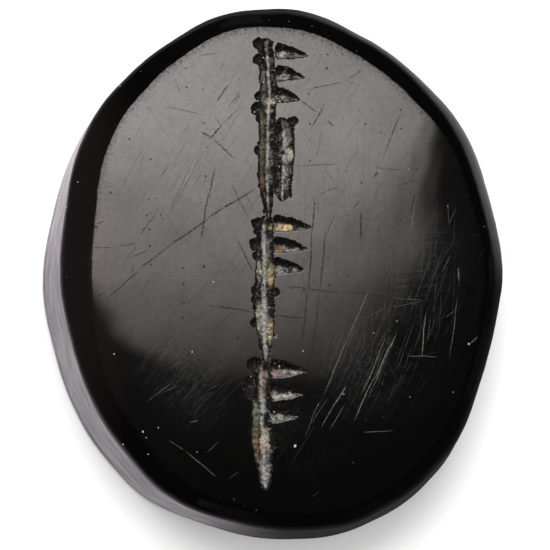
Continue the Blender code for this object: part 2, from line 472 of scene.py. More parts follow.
def longCut(places, outline, deepest, depth):
    # in a long stroke: depth, polish left, smooth line, dust and room for dirt
    top, bottom = outline[0][0], outline[-1][0]
    left, right = sidesOf(outline, places[:, 1])
    share = (places[:, 0] - left) / np.maximum(right - left, 1e-6)
    inside = (share > 0) & (share < 1) & (places[:, 1] < top) & (places[:, 1] > bottom)
    first, last = deepest
    cut = np.clip(share / first, 0, 1) ** 0.7 * np.clip((1 - share) / (1 - last), 0, 1) ** 0.5
    cut *= depth * np.clip((right - left) / strokes["fullWidth"], 0, 1) ** 0.6
    ends = np.minimum(top - places[:, 1], places[:, 1] - bottom)
    cut *= np.clip(ends / (strokes["fullWidth"] / 2), 0, 1) ** 0.5
    line = softStep(share, first - 0.05, first + 0.03) * softStep(share, last + 0.05, last - 0.02)
    polish = strokes["longPolish"] + (strokes["linePolish"] - strokes["longPolish"]) * line
    cut = np.where(inside, cut, 0)
    return cut, polish, line, strokes["dustAmount"] + 0 * cut, softStep(cut, *strokes["blackEdge"])


def shortCut(places, start, end, width, depth):
    # the same in a short stroke, which has no smooth line; the dust on its gentle side is partly painted
    # light
    share, beside, _ = alongStroke(places, start, end)
    inside = (share > 0) & (share < 1)
    share = np.clip(share, 0, 1)
    beside = beside + strokes["bow"] * share**2
    begin = np.clip(share / 0.08, 0, 1) ** 0.5
    steep = width / 2 * begin * (1 - share**3)
    gentle = width / 2 * strokes["foot"] * begin * (1 - share**1.6)
    across = (steep - beside) / np.maximum(steep + gentle, 1e-6)
    inside &= (across > 0) & (across < 1)
    cut = np.interp(across, *zip(*strokes["shortSection"])) * depth * begin * np.sqrt(1 - share**3)
    polish = np.interp(across, *zip(*strokes["shortPolish"]))
    dustAndRampLight = np.interp(across, *zip(*strokes["shortDustAndLight"]))
    cut = np.where(inside, cut, 0)
    return cut, polish, 0 * cut, dustAndRampLight, softStep(cut, 0, 0.008)


def cutStrokes(places, ragged):
    # depth, polish, line, dust and room for dirt at each place, from the deepest stroke there; on the short
    # strokes' gentle sides the dust is partly painted light
    found = [longCut(ragged, *stroke) for stroke in strokes["long"]]
    found += [shortCut(ragged, *stroke) for stroke in shortStrokes()]
    found = np.array(found)
    deepest = found[:, 0].argmax(0)
    cut, polish, line, dustAndRampLight, room = found[deepest, :, np.arange(len(places))].T
    flat = np.column_stack([places, 0 * cut])
    grain = sum(share * noiseAt(flat, size, 40.3 * size) for size, share in strokes["grain"])
    length, spacing, share = strokes["wheelMarks"]
    streaks = np.column_stack([places[:, 0] / spacing, places[:, 1] / length, 0 * cut])
    rows = np.column_stack([places[:, 0] / length, places[:, 1] / spacing, 0 * cut])
    isLong = deepest < len(strokes["long"])
    grain += share * np.where(isLong, noiseAt(streaks, 1, 6), noiseAt(rows, 1, 7))
    return cut * (1 + grain * (1 - 0.85 * line)), polish, line, dustAndRampLight, room


def cutChips(places):
    # small shells of stone broken off along the strokes' edges
    dice = random.Random(strokes["seed"])
    chips = list(strokes["chips"])
    for outline, _, _ in strokes["long"]:
        top, bottom = outline[0][0], outline[-1][0]
        for _ in range(round(2 * (top - bottom) / strokes["chipEvery"])):
            along = dice.uniform(bottom, top)
            side = sidesOf(outline, along)[dice.random() < 0.35]
            chips.append((float(side), along, dice.uniform(*strokes["chipRadius"]),
                          dice.uniform(*strokes["chipDepth"])))
    depth = np.zeros(len(places))
    for across, along, radius, deepest in chips:
        apart = (places - (across, along)) / radius
        bowl = np.clip(1 - (apart**2).sum(1), 0, 1)
        depth = np.maximum(depth, deepest * bowl**0.6)
    return depth


def lieDirt(places, ragged, dustAndRampLight, room):
    # how thick the dirt lies at each place and its tint; on the short strokes' gentle sides it is partly
    # painted light, for the light they catch
    flat = np.column_stack([places, 0 * dustAndRampLight])
    large, small = strokes["dustPatch"]
    patches = noiseAt(flat, large, 70.1) + 0.8 * noiseAt(flat, small, 81.7)
    thick = np.clip((dustAndRampLight + 0.6 * patches - 0.30) / 0.5, 0, 1)
    tint = np.tile(strokes["tints"]["dustAndRampLight"], (len(places), 1))
    for across, along, halfWidth, halfLength, name, amount in strokes["dirtAndRampLight"]:
        away = np.hypot((ragged[:, 0] - across) / halfWidth, (ragged[:, 1] - along) / halfLength)
        there = softStep(away, 1.25, 0.6) * np.clip(amount + 0.55 * patches, 0, 1)
        tint += (strokes["tints"][name] - tint) * np.clip(1.6 * there, 0, 1)[:, None]
        thick = np.maximum(thick, there)
    return thick * room, tint


def refineStrokes(made):
    # a finer mesh where the strokes will be cut
    places = coordinates(made.data)
    near = np.zeros(len(places), bool)
    margin = strokes["margin"]
    for start, end, width, _ in shortStrokes():
        share, beside, length = alongStroke(places[:, :2], start, end)
        inside = (share > -margin / length) & (share < 1 + margin / length)
        near |= inside & (np.abs(beside + width / 4) < width / 2 * strokes["foot"] + margin)
    for outline, _, _ in strokes["long"]:
        left, right = sidesOf(outline, places[:, 1])
        inside = (places[:, 1] < outline[0][0] + margin) & (places[:, 1] > outline[-1][0] - margin)
        near |= inside & (places[:, 0] > left - margin) & (places[:, 0] < right + margin)
    for across, along, radius, _ in strokes["chips"]:
        near |= np.hypot(places[:, 0] - across, places[:, 1] - along) < radius + margin
    near &= places[:, 2] > stone["faceEdgeHeight"]
    switch("EDIT")
    bpy.ops.mesh.select_mode(type="VERT")
    bpy.ops.mesh.select_all(action="DESELECT")
    switch("OBJECT")
    made.data.vertices.foreach_set("select", near)
    switch("EDIT")
    bpy.ops.mesh.select_mode(type="FACE")
    bpy.ops.mesh.subdivide(number_cuts=strokes["cuts"])
    switch("OBJECT")


def carve(made, rings):
    places = coordinates(made.data)
    face = readFromPoints(made.data, "level", np.int32) == 0
    top = places[face]
    top[:, 2] = domeHeight(top, rings) + ripple(top)
    middle, reach = strokes["column"]
    near = np.abs(top[:, 0] - middle) < reach
    flat = top[near, :2]
    ragged = warped(flat)
    cut, polish, line, dustAndRampLight, room = cutStrokes(flat, ragged)
    chipped = cutChips(ragged)
    broken = chipped > cut
    polish[broken], line[broken] = strokes["chipPolish"], 0
    dustAndRampLight[broken] *= strokes["chipDust"]
    cut = np.maximum(cut, chipped)
    dirtAndRampLight, tint = lieDirt(flat, ragged, dustAndRampLight, room)
    dirtAndRampLight[broken] *= strokes["chipDirt"]
    top[near, 2] -= cut
    places[face] = top
    setCoordinates(made.data, places)
    values = np.zeros((4, len(places)))
    spotIndex = np.flatnonzero(face)[near]
    values[:, spotIndex] = softStep(cut, 0, strokes["groundAway"]), polish, line, dirtAndRampLight
    values[0] = spread(made.data, values[0])
    for name, found in zip(("cut", "polish", "line", "dirtAndRampLight"), values):
        storeOnPoints(made.data, name, found)
    tints = np.ones((len(places), 4))
    tints[spotIndex, :3] = tint
    made.data.attributes.new("tint", "FLOAT_COLOR", "POINT").data.foreach_set("color", tints.ravel())


def makeStone():
    rings = outlineRings()
    made = layFace(rings)
    dropSides(made, rings)
    refineStrokes(made)
    carve(made, rings)
    bpy.ops.object.select_all(action="DESELECT")
    made.select_set(True)
    bpy.context.view_layer.objects.active = made
    bpy.ops.object.shade_smooth()
    print("stone:", len(made.data.vertices), "points,", len(made.data.polygons), "faces")
    return made


class Flow:
    # a value that nodes work out; arithmetic with it adds Math nodes to its tree
    def __init__(self, tree, socket):
        self.tree = tree
        self.socket = socket

    def __add__(self, other):
        return calc("ADD", self, other)

    def __sub__(self, other):
        return calc("SUBTRACT", self, other)

    def __rsub__(self, other):
        return calc("SUBTRACT", other, self)

    def __mul__(self, other):
        return calc("MULTIPLY", self, other)

    def __truediv__(self, other):
        return calc("DIVIDE", self, other)


def plug(value, socket):
    if isinstance(value, Flow):
        value.tree.links.new(value.socket, socket)
    else:
        socket.default_value = value


def put(tree, kind, wanted, inputs=None, **settings):
    # a new node: the output that is wanted, or a list of them
    made = tree.nodes.new("ShaderNode" + kind)
    for name, value in settings.items():
        setattr(made, name, value)
    for name, value in (inputs or {}).items():
        plug(value, made.inputs[name])
    if isinstance(wanted, tuple):
        return [Flow(tree, made.outputs[name]) for name in wanted]
    return Flow(tree, made.outputs[wanted])


def calc(operation, *values):
    tree = next(value.tree for value in values if isinstance(value, Flow))
    return put(tree, "Math", "Value", dict(enumerate(values)), operation=operation)


def highest(*values):
    found = values[0]
    for value in values[1:]:
        found = calc("MAXIMUM", found, value)
    return found


def reckon(operation, *values):
    wanted = "Value" if operation in ("DOT_PRODUCT", "LENGTH", "DISTANCE") else "Vector"
    return put(values[0].tree, "VectorMath", wanted, dict(enumerate(values)), operation=operation)


def stretched(spot, size):
    return reckon("MULTIPLY", spot, size)


def rotated(spot, angle):
    inputs = {"Vector": spot, "Angle": angle}
    return put(spot.tree, "VectorRotate", "Vector", inputs, rotation_type="Z_AXIS")


def ramp(value, low, high, first=0, last=1, kind="LINEAR"):
    inputs = {"Value": value, "From Min": low, "From Max": high, "To Min": first, "To Max": last}
    return put(value.tree, "MapRange", "Result", inputs, interpolation_type=kind)


def ease(value, *reach):
    return ramp(value, *reach, kind="SMOOTHSTEP")


def blend(share, first, second):
    return put(share.tree, "Mix", 2, {0: share, 6: first, 7: second}, data_type="RGBA")


def cloud(spot, scale, detail=2, roughness=0.5, wanted="Fac"):
    inputs = {"Vector": spot, "Scale": scale, "Detail": detail, "Roughness": roughness}
    return put(spot.tree, "TexNoise", wanted, inputs)


def swayed(flat, scale, detail, reach):
    # the same places, moved about by up to half of reach
    sway = stretched(cloud(flat, scale, detail, wanted="Color"), (reach, reach, 0))
    return reckon("SUBTRACT", reckon("ADD", flat, sway), (reach / 2, reach / 2, 0))


def within(flat, across, along, radius):
    return ease(reckon("DISTANCE", flat, (across, along, 0)), radius, 0.5 * radius)


def newGroup(name, *numbers):
    # a node group that takes a place and some numbers and gives a mask
    tree = bpy.data.node_groups.new(name, "ShaderNodeTree")
    tree.interface.new_socket(name="Place", in_out="INPUT", socket_type="NodeSocketVector")
    for label in numbers:
        tree.interface.new_socket(name=label, in_out="INPUT", socket_type="NodeSocketFloat")
    tree.interface.new_socket(name="Mask", in_out="OUTPUT", socket_type="NodeSocketFloat")
    start, end = tree.nodes.new("NodeGroupInput"), tree.nodes.new("NodeGroupOutput")
    return end.inputs["Mask"], [Flow(tree, start.outputs[label]) for label in ("Place", *numbers)]


def place(group, *values):
    return put(values[0].tree, "Group", "Mask", dict(enumerate(values)), node_tree=group)


def nearestMark(flat, found):
    # one mask for a list of scratches
    nearest = 1.0
    for startX, startY, endX, endY, width, strength in found:
        start, end = onFace(startX, startY), onFace(endX, endY)
        middle, half = (start + end) / 2, (end - start) / 2
        ahead = half / half.length_squared
        aside = Vector((-half.y, half.x, 0)) / (half.length * (width / 1000))
        along = reckon("DOT_PRODUCT", flat, ahead) - middle.dot(ahead)
        along = along * along
        away = reckon("DOT_PRODUCT", flat, aside) - middle.dot(aside)
        square = calc("MULTIPLY_ADD", along, along, 1 - strength / 100)
        nearest = calc("MINIMUM", nearest, calc("MULTIPLY_ADD", away, away, square))
    return ease(nearest, 1, 0.25)


def hairlineGroup():
    # straight fine scratches at random: at most one in each cell of a stretched grid
    mask, (spot, turn, length, spacing, width, amount) = newGroup(
        "hairlines", "Turn", "Length", "Spacing", "Width", "Amount")
    tree = spot.tree
    ahead, aside = put(tree, "SeparateXYZ", ("X", "Y"), {"Vector": rotated(spot, turn)})
    across = aside / spacing
    row = calc("FLOOR", across)
    shift = put(tree, "TexWhiteNoise", "Value", {"W": row}, noise_dimensions="1D")
    along = ahead / length + shift * 31.7
    cell = put(tree, "CombineXYZ", "Vector", {"X": row, "Y": calc("FLOOR", along)})
    chance, colour = put(tree, "TexWhiteNoise", ("Value", "Color"), {"Vector": cell},
                         noise_dimensions="2D")
    red, green, blue = put(tree, "SeparateColor", ("Red", "Green", "Blue"), {"Color": colour})
    share = calc("FRACT", along)
    level = green * 0.4 + 0.3 + (blue - 0.5) * (share - 0.5)
    away = calc("ABSOLUTE", calc("FRACT", across) - level)
    line = ease(away * spacing / width, 0.2, 1, 1, 0)
    taper = ease(calc("ABSOLUTE", share - 0.5), 0.2, 0.5, 1, 0)
    there = calc("LESS_THAN", red, amount)
    plug(line * taper * there * (chance * 0.7 + 0.3), mask)
    return tree


def speckGroup():
    # small round spots at random
    mask, (spot, spacing, size, amount) = newGroup("specks", "Spacing", "Size", "Amount")
    inputs = {"Vector": spot, "Scale": calc("DIVIDE", 1, spacing)}
    colour, distance = put(spot.tree, "TexVoronoi", ("Color", "Distance"), inputs,
                           voronoi_dimensions="2D")
    red, green = put(spot.tree, "SeparateColor", ("Red", "Green"), {"Color": colour})
    away = distance * spacing / (size * (green + 0.35))
    plug(ease(away, 0.4, 1, 1, 0) * calc("LESS_THAN", red, amount), mask)
    return spot.tree


look = {
    "black": (0.0010, 0.0009, 0.0009, 1),
    "brown": (0.0056, 0.0039, 0.0037, 1),       # the warm tint of the left shoulder
    # painted shade: a dark copy of the scratch colour, for scratches, hairlines and pits where the face
    # mirrors the bright softbox
    "shadedScratch": (0.012, 0.012, 0.0115, 1),
    # painted light: a pale copy of the scratch colour, for scratches where the face is dark, standing for
    # the light they catch
    "litScratch": (0.100, 0.100, 0.096, 1),
    # painted highlight: the pale colour of fine lines where the light rakes them
    "rakeLitLine": (0.052, 0.053, 0.052, 1),        # fine lines where the light rakes them
    "film": (0.026, 0.0265, 0.0265, 1),         # a faint dusty film
    # across, along, radius and thickness of its patches
    "filmPatches": (
        (3.7, 1.2, 2.9, 0.7), (2.2, -3.4, 4.0, 0.6), (-4.4, -3.6, 4.6, 0.72),
        (-0.5, -5.2, 3.6, 0.5),
    ),
    "groove": (0.0055, 0.005, 0.0045, 1),
    "grooveDust": (0.040, 0.037, 0.032, 1),
    # painted highlight: a pale colour standing for the softbox mirrored in the smooth floor of the long
    # strokes
    "grooveFloorHighlight": (0.26, 0.25, 0.23, 1),
    "crumb": (0.50, 0.49, 0.46, 1),
    "ground": (0.006, 0.0055, 0.006, 1),
    "groundPale": (0.026, 0.023, 0.025, 1),
    "speck": (0.40, 0.40, 0.37, 1),
    # bright specks on the face: place in the picture, radius in thousandths of a millimetre,
    # strength in hundredths
    "faceSpecks": (
        (295, 446, 55, 100), (213, 282, 45, 70), (192, 352, 45, 70), (114, 354, 45, 80), (103, 381, 35, 60),
        (374, 333, 30, 80), (303, 351, 40, 70), (453, 392, 30, 70), (410, 397, 35, 70), (350, 209, 35, 70),
        (302, 228, 45, 100), (409, 169, 35, 70), (397, 321, 30, 70), (469, 344, 50, 90), (448, 206, 35, 60),
        (158, 428, 40, 70), (143, 432, 55, 80), (146, 438, 30, 70), (197, 452, 30, 70), (259, 223, 45, 100),
        (344, 394, 40, 70), (318, 405, 40, 60), (243, 382, 45, 50), (353, 462, 30, 50),
    ),
    # the same for those on the shoulder
    "shoulderSpecks": (
        (232, 500, 70, 90), (124, 444, 40, 70), (147, 455, 40, 70), (254, 511, 45, 80), (242, 507, 35, 60),
        (287, 509, 35, 60), (293, 509, 30, 60), (312, 514, 30, 50), (67, 277, 60, 35), (78, 182, 40, 60),
        (68, 206, 45, 60), (141, 71, 30, 50), (121, 85, 45, 60), (268, 20, 35, 50), (288, 22, 30, 50),
        (311, 27, 45, 50), (355, 52, 40, 50), (478, 191, 35, 50), (483, 227, 35, 50), (98, 115, 30, 40),
    ),
    # start and end in the picture, half width in thousandths of a millimetre, strength in
    # hundredths
    "scratches": (
        (160, 106, 206, 115, 26, 60), (172, 74, 182, 96, 24, 60), (200, 131, 212, 138, 41, 95),
        (208, 141, 222, 125, 44, 100), (222, 126, 241, 104, 30, 70), (212, 138, 237, 160, 37, 85),
        (213, 115, 223, 129, 30, 75), (229, 83, 216, 103, 37, 90), (241, 90, 227, 108, 35, 75),
        (242, 91, 233, 105, 26, 70), (225, 60, 221, 69, 30, 70), (197, 57, 222, 52, 29, 60),
        (207, 145, 164, 224, 24, 62), (193, 160, 166, 217, 26, 66), (215, 165, 209, 198, 37, 90),
        (210, 190, 200, 240, 43, 100), (259, 186, 204, 221, 44, 100), (210, 218, 166, 248, 47, 100),
        (172, 245, 138, 268, 38, 90), (142, 267, 104, 301, 37, 85), (170, 163, 157, 180, 29, 60),
        (178, 150, 172, 162, 24, 50), (228, 178, 250, 222, 30, 70), (243, 190, 258, 215, 26, 60),
        (96, 224, 104, 220, 37, 80), (88, 248, 118, 247, 29, 70), (116, 247, 140, 242, 29, 70),
        (156, 213, 138, 238, 35, 75), (159, 213, 163, 221, 35, 80), (152, 248, 124, 260, 35, 70),
        (134, 262, 130, 276, 37, 60), (140, 242, 124, 261, 24, 55), (237, 238, 254, 274, 41, 90),
        (222, 252, 243, 276, 24, 50), (205, 305, 254, 312, 41, 95), (272, 315, 306, 318, 37, 90),
        (90, 299, 108, 292, 30, 70), (128, 338, 136, 320, 29, 60), (234, 312, 216, 326, 26, 55),
        (177, 300, 200, 268, 23, 45), (190, 304, 213, 274, 23, 45), (245, 152, 257, 182, 23, 45),
        (303, 92, 346, 81, 32, 75), (344, 82, 366, 67, 30, 75), (342, 80, 358, 84, 24, 50),
        (330, 45, 338, 58, 29, 60), (300, 99, 318, 113, 37, 80), (326, 101, 310, 131, 35, 80),
        (328, 119, 334, 127, 41, 90), (322, 128, 316, 162, 24, 55), (404, 108, 381, 161, 32, 80),
        (359, 147, 351, 161, 26, 55), (378, 171, 373, 179, 44, 95), (292, 166, 346, 163, 29, 65),
        (370, 167, 408, 170, 26, 65), (316, 196, 343, 184, 29, 65), (322, 165, 337, 184, 26, 55),
        (394, 187, 422, 178, 47, 60), (415, 190, 411, 217, 41, 85), (353, 208, 360, 200, 32, 80),
        (362, 211, 361, 240, 44, 100), (335, 212, 325, 238, 29, 65), (315, 196, 312, 235, 41, 95),
        (312, 228, 309, 292, 41, 100), (308, 284, 302, 348, 35, 90), (326, 230, 320, 292, 43, 100),
        (320, 284, 311, 364, 37, 90), (318, 198, 318, 214, 26, 60), (287, 258, 299, 280, 26, 55),
        (300, 256, 308, 266, 29, 60), (302, 292, 312, 285, 44, 90), (282, 286, 346, 293, 37, 85),
        (340, 292, 392, 297, 35, 80), (322, 292, 336, 308, 26, 55), (370, 248, 367, 275, 24, 50),
    ),
    # scratches painted pale, as if catching light, where the face around them is dark; the same columns as
    # above
    "litScratches": (
        (372, 284, 346, 342, 22, 75), (350, 333, 321, 400, 22, 72), (323, 394, 302, 442, 20, 60),
        (398, 330, 372, 384, 30, 90), (388, 331, 361, 399, 21, 75), (376, 374, 352, 424, 29, 80),
        (392, 345, 366, 403, 20, 60), (381, 352, 357, 402, 17, 60), (346, 386, 334, 405, 31, 95),
        (338, 397, 320, 430, 22, 70), (346, 402, 328, 433, 19, 60), (330, 394, 309, 428, 17, 50),
        (426, 311, 421, 360, 26, 85), (431, 314, 427, 345, 17, 45), (401, 355, 442, 357, 21, 60),
        (458, 267, 459, 283, 31, 80), (459, 288, 449, 366, 21, 60), (359, 433, 398, 430, 21, 60),
        (385, 307, 428, 300, 21, 45), (360, 321, 388, 306, 19, 42), (444, 320, 459, 308, 21, 50),
        (452, 253, 441, 275, 21, 55), (416, 198, 410, 236, 25, 60), (458, 205, 447, 228, 22, 50),
        (448, 200, 449, 226, 20, 50), (470, 344, 478, 336, 27, 80), (167, 439, 186, 451, 26, 55),
        (182, 448, 221, 480, 27, 62), (204, 454, 222, 440, 17, 50), (203, 393, 224, 381, 19, 45),
        (142, 405, 178, 378, 21, 50), (150, 398, 182, 384, 16, 45), (188, 423, 199, 420, 25, 60),
        (228, 480, 240, 470, 17, 40), (388, 297, 426, 300, 19, 50), (311, 498, 320, 491, 17, 40),
    ),
    # turn in degrees, length, spacing, width, how many of the cells hold one, strength, and where:
    # across, along and radius
    "hairlines": (
        (70, 2.4, 0.11, 0.018, 0.50, 0.80, 2.6, -1.1, 4.4),
        (63, 1.5, 0.13, 0.018, 0.45, 0.75, 1.7, -3.3, 3.0),
        (42, 1.6, 0.13, 0.020, 0.40, 0.50, -3.9, -3.2, 4.4),
        (60, 2.4, 0.26, 0.024, 0.40, 0.60, 0, 0, 30),
        (67, 1.1, 0.21, 0.020, 0.32, 0.45, -2.6, 3.6, 6.5),
        (124, 1.6, 0.40, 0.022, 0.26, 0.50, 0, 0, 30),
        (88, 2.6, 0.22, 0.022, 0.42, 0.70, 2.8, 0.8, 5.2),
        (5, 1.8, 0.38, 0.020, 0.28, 0.40, 2.8, 0.5, 4.6),
        (-14, 1.3, 0.48, 0.020, 0.26, 0.45, 0, 0, 30),
        (22, 1.0, 0.46, 0.022, 0.28, 0.50, 0, 0, 30),
    ),
    # spacing, size, how many of the cells hold one, strength
    "pits": ((0.62, 0.046, 0.32, 0.9), (0.22, 0.024, 0.16, 0.7)),
    "crumbs": (0.17, 0.026, 0.07),
    "baseRoughness": 0.30,
    # brushed haze: turn, length and spacing of its streaks, and where: across, along and radius
    "streaks": (
        (71, 1.3, 0.085, 2.6, -0.6, 6.4), (4, 1.2, 0.10, 3.8, 0.6, 2.8), (45, 1.2, 0.10, -4.0, -2.6, 5.6),
        (62, 1.5, 0.09, -2.5, 4.0, 7.0),
    ),
    # where it lies: across, along, radius, strength
    "brushedPlaces": (
        (3.3, 0.5, 3.8, 0.9), (1.6, -2.8, 3.0, 0.60), (-4.0, -3.2, 5.0, 0.72), (-3.5, 3.0, 7.0, 0.50),
    ),
    # where the light rakes the fine lines, so that they look pale
    "rakedPlaces": ((4.4, -1.6, 4.6, 1.0), (-4.4, -5.0, 4.2, 0.6), (0.5, -6.2, 3.6, 0.5)),
    # the wall: how often its marks and blotches come across, along and up
    "wallMarks": (0.45, 0.45, 17),
    "wallBlotches": (0.9, 0.9, 2.2),
    "wallBump": 0.004,
    "strokeBump": 0.006,
    "shoulderStarts": (2.55, 2.7),
    "baseIor": 1.12,
    "coatIor": 1.52,
    "coatRoughness": 0.03,
}


def roundPatches(flat, found):
    # one mask for a list of round patches: across, along, radius, strength
    nearest = 1.0
    for across, along, radius, strength in found:
        apart = reckon("DISTANCE", flat, (across, along, 0))
        nearest = calc("MINIMUM", nearest, calc("MULTIPLY_ADD", apart, 1 / radius, 1 - strength))
    return ease(nearest, 1, 0.4)


def streak(flat, turn, length, spacing):
    drawn = stretched(rotated(flat, -math.radians(turn)), (1 / length, 1 / spacing, 0))
    return ease(cloud(drawn, 1, 4, 0.7), 0.43, 0.70)


def specksOn(found, onStone):
    return [(*onStone(x, y).xy, radius / 1000, strength / 100) for x, y, radius, strength in found]


def stoneMaterial():
    material = bpy.data.materials.new("polished black stone")
    material.use_nodes = True
    tree = material.node_tree
    shader = tree.nodes["Principled BSDF"].inputs
    top = stone["faceEdgeHeight"]
    spot = stretched(put(tree, "TexCoord", "Object"), (1 / mm, 1 / mm, 1 / mm))
    flat = stretched(spot, (1, 1, 0))
    across, along, up = put(tree, "SeparateXYZ", ("X", "Y", "Z"), {"Vector": spot})
    cut, polishLeft, grooveFloorHighlight, dirtAndRampLight, wall = [
        put(tree, "Attribute", "Fac", attribute_name=name)
        for name in ("cut", "polish", "line", "dirtAndRampLight", "wall")
    ]
    tint = put(tree, "Attribute", "Color", attribute_name="tint")
    wavy = swayed(flat, 0.9, 1, 0.12)
    ragged = swayed(flat, 9, 2, 0.08)
    onTop = ease(up, top - 0.1, top + 0.03)

    # the scratches that stand out: dark ones where the face mirrors the softbox, and pale ones, painted
    # light, where the face is dark
    broken = ease(cloud(flat, 12, 4, 0.8), 0.42, 0.56, 0.20, 1)
    deep = nearestMark(wavy, look["scratches"]) * broken * onTop
    # painted light: the mask of the scratches drawn pale where the face is dark
    pale = nearestMark(wavy, look["litScratches"]) * broken * onTop

    # hairlines and pits over the face, fewest by its lower rim
    hairline, speck = hairlineGroup(), speckGroup()
    rim = reckon("LENGTH", stretched(flat, (1 / 7.0, 1 / 8.3, 0)))
    quiet = ease(rim, 0.66, 0.93) * ease(along, 1.5, -2.5)
    marked = (1 - quiet * 0.9) * onTop
    fine = 0
    for number, (turn, *sizes, strength, x, y, radius) in enumerate(look["hairlines"]):
        moved = reckon("ADD", flat, (3.1 * number, 5.3 * number, 0))
        found = place(hairline, moved, -math.radians(turn), *sizes)
        fine = highest(fine, found * strength * within(flat, x, y, radius))
    fine = fine * ease(cloud(flat, 3.5, 5, 0.7), 0.36, 0.56, 0.2, 1) * marked
    dots = 0
    for *sizes, strength in look["pits"]:
        dots = highest(dots, place(speck, ragged, *sizes) * strength)
    deep = highest(deep, dots * marked)
    lines = highest(fine, deep, pale)

    # fine brushed haze, and a faint film of dust in cloudy patches
    haze = 0
    for turn, length, spacing, *where in look["streaks"]:
        haze = highest(haze, streak(wavy, turn, length, spacing) * within(flat, *where))
    haze = haze * roundPatches(ragged, look["brushedPlaces"])
    haze = haze * ease(cloud(flat, 1.1, 4), 0.30, 0.62, 0.35, 1) * marked
    film = roundPatches(ragged, look["filmPatches"]) * ease(cloud(flat, 6, 6, 0.8), 0.40, 0.68)
    film = film * ease(cloud(flat, 0.8, 3), 0.30, 0.66, 0.3, 1) * marked
    colour = blend(ease(across, -5.2, -7.3), look["black"], look["brown"])
    colour = blend(film * 0.55 + haze * 0.65, colour, look["film"])
    # painted highlight: where the light rakes them the fine lines take the pale colour, elsewhere the dark
    # one
    raked = roundPatches(flat, look["rakedPlaces"])
    colour = blend(fine, colour, blend(raked, look["shadedScratch"], look["rakeLitLine"]))
    # painted shade: deep scratches and pits take the dark copy of the scratch colour
    colour = blend(deep, colour, look["shadedScratch"])
    # painted light: scratches on the dark part of the face drawn pale
    colour = blend(pale, colour, look["litScratch"])

    # the ground wall: marks that run round it
    marks = cloud(stretched(spot, look["wallMarks"]), 1, 4, 0.65)
    marks = marks * 0.7 + cloud(stretched(spot, look["wallBlotches"]), 1, 3) * 0.3
    ground = blend(ease(marks, 0.40, 0.66), look["ground"], look["groundPale"])
    colour = blend(wall, colour, ground)

    # bright specks, where the stone or its dirt is chipped
    bright = roundPatches(ragged, specksOn(look["faceSpecks"], onFace)) * onTop
    chipped = roundPatches(ragged, specksOn(look["shoulderSpecks"], onShoulder))
    bright = highest(bright, chipped * (ease(up, *look["shoulderStarts"]) - onTop))
    colour = blend(bright, colour, look["speck"])

    # the strokes: rough dark stone with pale dirt lying in it; on the short strokes' gentle sides that pale
    # dirt is partly painted light, and the long strokes' smooth floors carry a painted highlight
    crumbs = cloud(flat, 12, 4, 0.7)
    rough = blend(ease(crumbs, 0.46, 0.78), look["groove"], look["grooveDust"])
    shade = ramp(cloud(flat, 8, 4, 0.75), 0.30, 0.70, 0.35, 1.60)
    lying = put(tree, "VectorMath", "Vector", {"Vector": tint, "Scale": shade}, operation="SCALE")
    # painted light: on the short strokes' gentle sides this pale dirt colour also stands for the light they
    # catch
    thick = dirtAndRampLight * ease(cloud(flat, 10, 3, 0.7), 0.34, 0.56, 0.25, 1)
    rough = blend(thick, rough, lying)
    # painted highlight along the smooth floor of the long strokes, over the real reflection its polish
    # gives
    grooveFloorHighlight = grooveFloorHighlight * ease(cloud(flat, 5, 4, 0.7), 0.34, 0.66)
    rough = blend(grooveFloorHighlight * 0.8, rough, look["grooveFloorHighlight"])
    rough = blend(place(speck, spot, *look["crumbs"]), rough, look["crumb"])
    plug(blend(cut, colour, rough), shader["Base Color"])

    # the polish is a coat: scratches, the ground wall and the strokes break it
    polish = (1 - lines * 0.95) * (1 - haze * 0.45)
    mottle = ramp(cloud(flat, 5, 6, 0.85), 0.36, 0.64, 0.80, 1.02)
    polish = polish * (mottle * ramp(cloud(flat, 0.7, 3), 0.3, 0.7, 0.90, 1.04))
    level = up + ramp(cloud(flat, 9, 4, 0.7), 0.3, 0.7, -0.016, 0.016)
    edgeWear = ease(level, top - 0.012, top + 0.026, 0.25, 1)
    polish = polish * highest(edgeWear, 1 - onTop)
    onWall = ease(marks, 0.34, 0.62, 1, 0.36)
    polish = put(tree, "Mix", "Result", {"Factor": wall, "A": polish, "B": onWall})
    lost = highest(cut * (1 - polishLeft), thick * cut, bright)
    plug(polish * (1 - lost), shader["Coat Weight"])
    plug(highest(lines * 0.3 + look["baseRoughness"], cut * 0.6), shader["Roughness"])
    plug(look["baseIor"], shader["IOR"])
    plug(look["coatIor"], shader["Coat IOR"])
    plug(look["coatRoughness"], shader["Coat Roughness"])
    height = wall * marks * look["wallBump"] + cut * crumbs * look["strokeBump"]
    plug(put(tree, "Bump", "Normal", {"Height": height, "Distance": mm}), shader["Normal"])
    return material


studio = {
    "stoneMiddle": (0, 0, 2.8),
    "tilt": 15.0,              # of the camera from straight above, degrees
    "toward": 210.0,           # the side it leans to, anticlockwise from +X
    "distance": 300.0,
    "frameWidth": 18.555,      # what the picture takes in at the stone
    "picture": 550,            # its width in pixels
    "aim": (-0.363, -0.240),   # the picture's middle from the stone's, right and up
    "sensor": 36.0,
    "floorSize": 4000.0,
    "floorDrop": 0.01,
    "floorColour": (0.9, 0.9, 0.9, 1),
    "floorTint": (1.09, 1.0, 1.06, 1),
    # what the stone mirrors of the floor, on its left, behind it and on its right: the side, then
    # how well a direction has to agree with it, from and to, and the brightness there
    "glows": (
        ((-0.985, -0.174, 0), 0.05, 1, 0.05, 1.1),
        ((-0.26, 0.966, 0), 0.6, 0.98, 0, 0.4),
        ((0.75, 0.66, 0), 0.72, 0.97, 0, 0.68),
    ),
    "glowStarts": (9, 26),
    "glowFades": (9.5, 34, 1, 0.14),
    "key": ((-183, 504, 450), 840, 9.6),   # place, size and power
    # the brightness all round: as light, as the background and in the stone's reflections
    "worldLight": (0.89, 1.2, 0.01),
}


